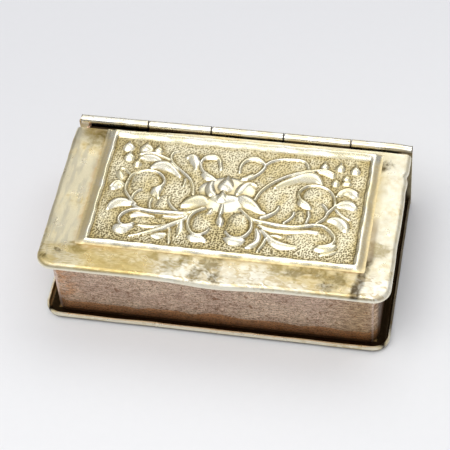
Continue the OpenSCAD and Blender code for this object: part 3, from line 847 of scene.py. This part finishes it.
LEAVES = [
    # upper leaves
    (0.55, [(-17.6, 6.1, 0.4), (-16.4, 6.8, 1.05), (-15, 6.9, 1.3), (-13.8, 6.4, 1), (-12.6, 5.5, 0.6),
     (-11.4, 4.4, 0.3)]),
    (0.42, [(-20.3, 8.5, 0.45), (-18.9, 8.7, 0.95), (-17.5, 8.6, 0.9), (-16.2, 8.1, 0.5)]),
    (0.5, [(-10.2, 3.9, 0.25), (-10.1, 3, 0.35), (-10.2, 2, 0.2)]),
    (0.6, [(8.2, 4, 0.4), (9.5, 5.1, 0.65), (11, 6, 0.8), (12.4, 6.8, 1), (13.8, 7.3, 1.35),
     (15.2, 7.3, 1.5), (16.4, 6.7, 0.9), (17.2, 5.9, 0.35)]),
    (0.5, [(16.4, 9.1, 0.35), (17.5, 9.1, 0.55), (18.5, 8.8, 0.6), (19.3, 8.2, 0.35)]),
    (0.52, [(-10.7, 9.7, 0.55), (-9.8, 9.8, 1), (-9.2, 8.9, 0.95), (-8.8, 7.8, 0.55), (-8.6, 6.7, 0.2)]),
    (0.52, [(-6.7, 5.6, 0.5), (-5.6, 4.9, 0.85), (-4.6, 4.5, 0.6)]),
    (0.5, [(1.3, 5.4, 0.4), (2.4, 5.9, 0.65), (3.3, 6.9, 0.3)]),
    # flower, on a low smooth swelling
    (0.26, [(-4.6, 1.6, 2.2), (-1.6, 2, 3.2), (1.4, 2, 2.6), (2.2, 2.2, 1.8)]),
    (0.3, [(-3.4, -1.6, 1.8), (-1.5, -1.8, 2.2), (0.8, -1.6, 1.8)]),
    (0.58, [(-3.4, -0.7, 1), (-1.8, -0.8, 1.6), (0.3, -0.5, 1.2)]),
    (0.88, [(-1.6, 2.5, 1.5), (-1.6, 3.2, 1.3), (-1.6, 4.3, 0.75), (-1.6, 5.7, 0.25)]),
    (0.7, [(-4.6, 3.6, 0.45), (-4.8, 2.4, 0.75), (-4.6, 1.3, 0.9), (-4.1, 0.3, 0.9)]),
    (0.68, [(1, 1.2, 0.5), (1.4, 2.2, 0.78), (1.9, 3.2, 0.75), (2.6, 4, 0.55), (3.5, 4.3, 0.38),
     (4.4, 4, 0.25)]),
    (0.8, [(-9.4, -3.1, 0.55), (-8.2, -2.4, 1.25), (-7, -1.8, 1.65), (-5.9, -1.5, 1.45)]),
    (0.78, [(1.6, 0.3, 0.5), (2.5, -0.2, 1.15), (3.6, -0.9, 1.35), (4.8, -1.7, 1), (6.1, -2.7, 0.5),
     (7.2, -3, 0.25)]),
    (0.7, [(-1.5, -2, 0.36), (-1.5, -3.5, 0.42), (-1.55, -4.8, 0.38), (-1.25, -6.1, 0.72),
     (-1, -7.2, 0.35)]),
    (0.95, [(-1.9, -0.8, 1.1), (-1.9, 0.2, 0.8), (-1.9, 1.5, 0.25)]),
    (0.36, [(-4.1, -4.8, 0.2), (-3.7, -4.1, 0.45), (-3.5, -3.3, 0.3)]),
    # lobes along the bottom
    (0.58, [(-6.6, -10.8, 0.45), (-5.4, -11.1, 1), (-4.2, -11.1, 0.75), (-3.3, -11.5, 0.35)]),
    (0.56, [(0.7, -10.4, 0.45), (2, -11, 0.95), (3.2, -11, 0.8), (4.2, -10.3, 0.35)]),
    (0.6, [(-21.5, -10.2, 0.7), (-20.5, -10.6, 1.2), (-19.5, -10.2, 0.8), (-18.4, -9.7, 0.35)]),
    (0.58, [(18.5, -10.7, 0.45), (19.9, -10.7, 0.9), (21.2, -10.2, 0.8), (22.1, -9.4, 0.4)]),
    (0.52, [(7.2, -7.4, 0.35), (8.2, -8.3, 0.48), (9.1, -9.3, 0.62), (10.2, -10.2, 0.85),
     (11.6, -10.8, 0.95), (13.2, -10.9, 0.7), (14.8, -10.7, 0.3)]),
    (0.4, [(-14, -11.4, 0.35), (-12.6, -11.3, 0.8), (-11.6, -10.8, 0.45)]),
    (0.42, [(-8.9, -7.2, 0.45), (-8.8, -8.6, 0.65), (-8.7, -9.8, 0.55), (-8.9, -11, 0.25)]),
    (0.42, [(6.2, -7.2, 0.35), (6.8, -8.8, 0.6), (6.7, -10.4, 0.6), (5.8, -11.5, 0.6), (4.9, -12.1, 0.3)]),
    (0.5, [(-19, -6.9, 0.45), (-18, -6.5, 0.7), (-16.8, -6.5, 0.5), (-14.6, -6.7, 0.3)]),
    # leaves outside the scrolls
    (0.6, [(-24.2, -5.8, 0.35), (-23.7, -4.8, 0.8), (-22.7, -4, 1.1), (-21.4, -3.7, 1), (-20.2, -4, 0.6)]),
    (0.46, [(-24.3, -0.2, 0.6), (-23.7, 0.6, 0.95), (-22.9, 0.4, 0.6)]),
    (0.32, [(-24, 4.2, 0.5), (-23.6, 3.4, 0.7), (-23.2, 2.5, 0.5)]),
    (0.52, [(21.3, 3.4, 0.3), (21.8, 4.1, 0.55), (22.8, 4.4, 0.85), (23.7, 4.2, 1), (24.3, 3.5, 0.7)]),
    (0.56, [(21.4, 0.5, 0.4), (22.4, 1, 0.9), (23.5, 1, 1.05), (24.4, 0.4, 0.6)]),
    (0.6, [(20.1, -3.2, 0.5), (21.2, -3.1, 0.9), (22.3, -3.5, 1.1), (23.1, -4.3, 1), (23.6, -5.3, 0.6)]),
    (0.48, [(21.8, 6.8, 0.5), (22.8, 6.8, 0.5)]),
]

# (x, y, half-width, length back to the tip) of the pointed studs in the two back corners
STUDS = [(-23.4, 10.9, 1.0, 1.8), (-19.6, 10.9, 1.2, 1.9), (-17.1, 10.7, 0.8, 1.7), (-22.7, 8.2, 0.9, 1.7),
         (-20.7, 6.7, 0.7, 1.3), (17.3, 10.6, 0.7, 1.5), (20.5, 10.6, 0.75, 1.6), (23.6, 10.2, 0.8, 1.6),
         (22.1, 7.9, 0.7, 1.2), (20.1, 6.6, 0.7, 1.1)]
STUD_TOP = 0.75


def stud_path(x, y, w, length):
    """A stroke that is wide at the foot of the stud and narrows to its tip."""
    return [(x, y, 1.1 * w), (x, y + 0.45 * length, 0.6 * w), (x, y + length, 0.2)]


# (height, whether the top is punched like the ground, path), in the order in which the strokes are laid
STROKES = [(top, True, path) for top, path in FIELDS]
STROKES += [(top, False, path) for top, path in SCROLLS + LEAVES]
STROKES += [(STUD_TOP, False, stud_path(*stud)) for stud in STUDS]

FOOT = {"left": -29.0, "right": 28.8, "front": -15.25, "back": 15.85}   # where the plaque meets the lid
RISE = {"left": 2.25, "right": 1.9, "front": 1.2, "back": 0.8}        # from there in to the border's crest
FALL = {"left": 0.6, "right": 0.8, "front": 0.6, "back": 2.1}         # from the crest in to the ground
HOLLOWING = {"left": 1.5, "right": 1.5, "front": 0.9, "back": 0.9}   # how hollow the slope up to the crest is
CREST = 0.82                   # height of the border above the lid
GROUND = 0.22                  # height of the punched ground above the lid
SUNK = 0.1                     # how deep the relief's outermost points are sunk in the lid
GRID = 0.14                    # distance between the relief's points
PUNCH = 0.085                  # depth of the punch marks
PUNCH_PITCH = 0.43             # distance between them
PUNCH_R = 0.42 * PUNCH_PITCH   # radius of one
PUNCH_JITTER = 0.38            # how far one may be out of place, in pitches
NEAR, WIDE = 12, 90            # passes of smoothing for the small and the wide hollows


def smooth_path(points, step=0.08):
    """Points `step` apart on a Catmull-Rom curve through the given ones."""
    p = np.array([points[0], *points, points[-1]], float)
    out = []
    for a, b, c, d in zip(p, p[1:], p[2:], p[3:]):
        count = max(2, int(math.hypot(*(c - b)[:2]) / step))
        for t in np.arange(count)[:, None] / count:
            curve = (2 * a - 5 * b + 4 * c - d) * t**2 + (3 * b - a - 3 * c + d) * t**3
            out.append(0.5 * (2 * b + (c - a) * t + curve))
    return np.vstack(out)


def soften(field, passes):
    """Averages each point with its neighbours, several times."""
    for _ in range(passes):
        for axis in (0, 1):
            field = (np.roll(field, 1, axis) + 2 * field + np.roll(field, -1, axis)) / 4
    return field


def plaque_fields():
    """Height of the raised work above the ground, and where the surface is punched, on the plaque's grid."""
    xs = np.arange(FOOT["left"], FOOT["right"] + GRID / 2, GRID)
    ys = np.arange(FOOT["front"], FOOT["back"] + GRID / 2, GRID)
    X, Y = np.meshgrid(xs, ys)
    work = np.zeros_like(X)
    matte = np.ones_like(X)
    for top, punched, points in STROKES:
        path = smooth_path(points)
        widest = path[:, 2].max()
        body = smoothstep(0.45, 1.0, widest)      # 0 for a ribbon, 1 for a full leaf
        stroke = np.zeros_like(X)
        for x, y, w in path:
            w = max(w * 1.1, 0.16)
            i0, i1 = int((x - w - xs[0]) / GRID), int((x + w - xs[0]) / GRID) + 2
            j0, j1 = int((y - w - ys[0]) / GRID), int((y + w - ys[0]) / GRID) + 2
            dx, dy = X[j0:j1, i0:i1] - x, Y[j0:j1, i0:i1] - y
            round_top = np.clip(1 - (dx**2 + dy**2) / w**2, 0, 1) ** (0.7 - 0.2 * body)
            lean = (1 + 0.8 * body * dy / w) / (1 + 0.3 * body)   # leaves stand highest on their far side
            cap = top * min(1.0, w / (widest * 1.1)) ** 0.4 * round_top * lean
            stroke[j0:j1, i0:i1] = np.maximum(stroke[j0:j1, i0:i1], cap)
        matte = np.where((stroke > work) & (stroke > 0.05), 1.0 if punched else 0.0, matte)
        work = np.maximum(work, stroke)
    return X, Y, work, matte


def punch_marks(X, Y, rng):
    """1 at the bottom of each punch mark and 0 between them. The marks lie in uneven rows."""
    across = int((X.max() - X.min()) / PUNCH_PITCH) + 3
    down = int((Y.max() - Y.min()) / PUNCH_PITCH) + 3
    shift = rng.uniform(-PUNCH_JITTER, PUNCH_JITTER, (down, across, 2))
    depth = rng.uniform(0.45, 1.0, (down, across))
    i = ((X - X.min()) / PUNCH_PITCH).astype(int) + 1
    j = ((Y - Y.min()) / PUNCH_PITCH).astype(int) + 1
    marks = np.zeros_like(X)
    for dj in (-1, 0, 1):
        for di in (-1, 0, 1):
            a, b = np.clip(j + dj, 0, down - 1), np.clip(i + di, 0, across - 1)
            x = X.min() + (b - 0.5 + shift[a, b, 0]) * PUNCH_PITCH
            y = Y.min() + (a - 0.5 + shift[a, b, 1]) * PUNCH_PITCH
            away = ((X - x) ** 2 + (Y - y) ** 2) / PUNCH_R**2
            marks = np.maximum(marks, depth[a, b] * np.clip(1 - away, 0, 1))
    return marks


def plaque_relief():
    """The stamped plate: a border with sloping sides round a punched ground with the raised strokes on it."""
    X, Y, work, matte = plaque_fields()
    rng = np.random.default_rng(7)
    flow = np.sin(X * 0.31 + 1.0) * np.cos(Y * 0.43) + 0.6 * np.sin(X * 0.77 + Y * 0.5)
    inside = {"left": X - FOOT["left"], "right": FOOT["right"] - X,
              "front": Y - FOOT["front"], "back": FOOT["back"] - Y}
    outer = np.ones_like(X)
    open_ground = np.ones_like(X)
    ripple = 0.06 * np.sin(X * 0.9 + Y * 0.7) + 0.04 * np.sin(X * 2.3 - Y * 1.9)
    for side, reach in inside.items():
        crest = RISE[side] + ripple
        outer *= smoothstep(0.0, crest, reach) ** HOLLOWING[side]
        open_ground *= smoothstep(crest + 0.05, crest + FALL[side], reach)
    inner = 1 - open_ground
    open_ground = smoothstep(0.7, 1.0, open_ground)
    punch = -PUNCH * punch_marks(X, Y, rng) * soften(matte, 1) * open_ground
    raised = GROUND + 0.04 * flow + soften(work, 1) * (1 - 0.06 * flow)
    field = outer * (raised + (CREST + 0.03 * flow - raised) * inner) + punch
    matte = soften(matte * open_ground, 1)
    # how far each point lies below its smoothed surroundings, small and wide; the plaque material paints
    # shade with tarnish there
    hollow = soften(field, NEAR) - field
    broad = soften(field, WIDE) - field
    base = np.zeros_like(field)
    base[1:-1, 1:-1] = 1.0
    height = field * base - SUNK * (1 - base)
    rows, columns = X.shape
    top = np.stack([X + PLAQUE_X, Y + PLAQUE_Y, LID_TOP + height], -1).reshape(-1, 3)
    faces = grid_faces(rows, columns)
    edge = list(range(columns))
    edge += [j * columns + columns - 1 for j in range(1, rows)]
    edge += [(rows - 1) * columns + i for i in range(columns - 2, -1, -1)]
    edge += [j * columns for j in range(rows - 2, 0, -1)]
    faces.append(edge[::-1])
    thing = make_object("plaque_relief", top, faces, 60)
    layers = {"relief": field, "matte": matte, "hollow": hollow, "broad": broad, "punch": punch}
    for key, values in layers.items():
        add_layer(thing, key, values)
    return thing


plaque = plaque_relief()
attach(plaque, "lid")
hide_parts("lid_plaque")
plaque.data.materials.append(plaque_look())


# ---------------- materials of the kept CAD parts

def dress(node, material):
    thing = frame["nodes"][node]
    for slot in thing.material_slots:
        slot.material = material
    if not thing.material_slots:
        thing.data.materials.append(material)


dress("spine_plate", worn_plate("spine_look", spine_stains))
inner_material = inner_look()
for node in ("spine_bearer", "lid_flange", "lid_bearer"):
    dress(node, inner_material)
dress("hinge_pin", wire_look())


# ---------------- floor, light and camera

def studio_floor():
    half = 1.5
    mesh = bpy.data.meshes.new("floor")
    corners = [(-half, -half, 0), (half, -half, 0), (half, half, 0), (-half, half, 0)]
    mesh.from_pydata(corners, [], [[0, 1, 2, 3]])
    floor = place("floor", mesh)
    look = Shader("floor_look", 0.0)
    # painted shade: the floor greyer towards the back left, as the light falls off
    far = look.band(look.y - 0.5 * look.x, -60, 110)
    look.tone = look.mix(far, (0.84, 0.84, 0.85), (0.72, 0.72, 0.74))
    look.paint((0.6, 0.6, 0.6), look.noise(0.5, detail=3), 0.08)
    floor.data.materials.append(look.finish(0.85))


def area_light(name, spot, aim, size, power):
    lamp = bpy.data.lights.new(name, "AREA")
    lamp.shape = "RECTANGLE"
    lamp.size, lamp.size_y = size
    lamp.energy = power
    thing = place(name, lamp)
    thing.location = spot
    thing.rotation_euler = (Vector(aim) - Vector(spot)).to_track_quat("-Z", "Y").to_euler()


def studio_light():
    """A big overhead softbox, a weaker one behind, and surroundings that are dark low in front and behind."""
    world = bpy.data.worlds.new("studio")
    world.use_nodes = True
    tree = world.node_tree
    background = tree.nodes["Background"]
    direction = tree.nodes.new("ShaderNodeTexCoord")
    split = tree.nodes.new("ShaderNodeSeparateXYZ")
    tree.links.new(direction.outputs["Generated"], split.inputs[0])

    def ramp(value, low, high, start, end):
        made = tree.nodes.new("ShaderNodeMapRange")
        tree.links.new(value, made.inputs["Value"])
        for key, number in zip(("From Min", "From Max", "To Min", "To Max"), (low, high, start, end)):
            made.inputs[key].default_value = number
        return made.outputs[0]

    sideways = tree.nodes.new("ShaderNodeMath")
    sideways.operation = "ABSOLUTE"
    tree.links.new(split.outputs["X"], sideways.inputs[0])
    strength = tree.nodes.new("ShaderNodeMath")
    strength.operation = "MAXIMUM"
    dark, overhead, beside = 0.16, 0.62, 0.50
    tree.links.new(ramp(split.outputs["Z"], 0.05, 0.75, dark, overhead), strength.inputs[0])
    tree.links.new(ramp(sideways.outputs[0], 0.45, 0.90, dark, beside), strength.inputs[1])
    tree.links.new(strength.outputs[0], background.inputs["Strength"])
    background.inputs["Color"].default_value = (0.97, 0.98, 1.0, 1)
    bpy.context.scene.world = world
    middle = (0, 0, 0.01)
    area_light("key", (-0.14, -0.24, 0.60), middle, (0.60, 0.42), 2.2)
    area_light("back", (0.14, 0.38, 0.60), middle, (0.75, 0.44), 1.45)
    bpy.context.scene.view_settings.view_transform = "Standard"


def studio_camera():
    """Looks down on the front of the box from a little to its right, as the reference view does."""
    azimuth, elevation, roll = math.radians(14.16), math.radians(49.99), math.radians(-5.13)
    distance, aim = 0.36649, Vector((-0.00143, 0.00290, 0.007))
    back = Vector((math.sin(azimuth) * math.cos(elevation), -math.cos(azimuth) * math.cos(elevation),
                   math.sin(elevation)))
    level = Vector((math.cos(azimuth), math.sin(azimuth), 0))
    upright = back.cross(level)
    right = math.cos(roll) * level + math.sin(roll) * upright
    up = math.cos(roll) * upright - math.sin(roll) * level
    data = bpy.data.cameras.new("camera")
    data.lens = 142.9
    data.sensor_width = 36
    data.clip_start = 0.01
    camera = place("camera", data)
    rotation = Matrix((right, up, back)).transposed()
    camera.matrix_world = Matrix.Translation(aim + back * distance) @ rotation.to_4x4()
    bpy.context.scene.camera = camera


studio_floor()
studio_light()
studio_camera()
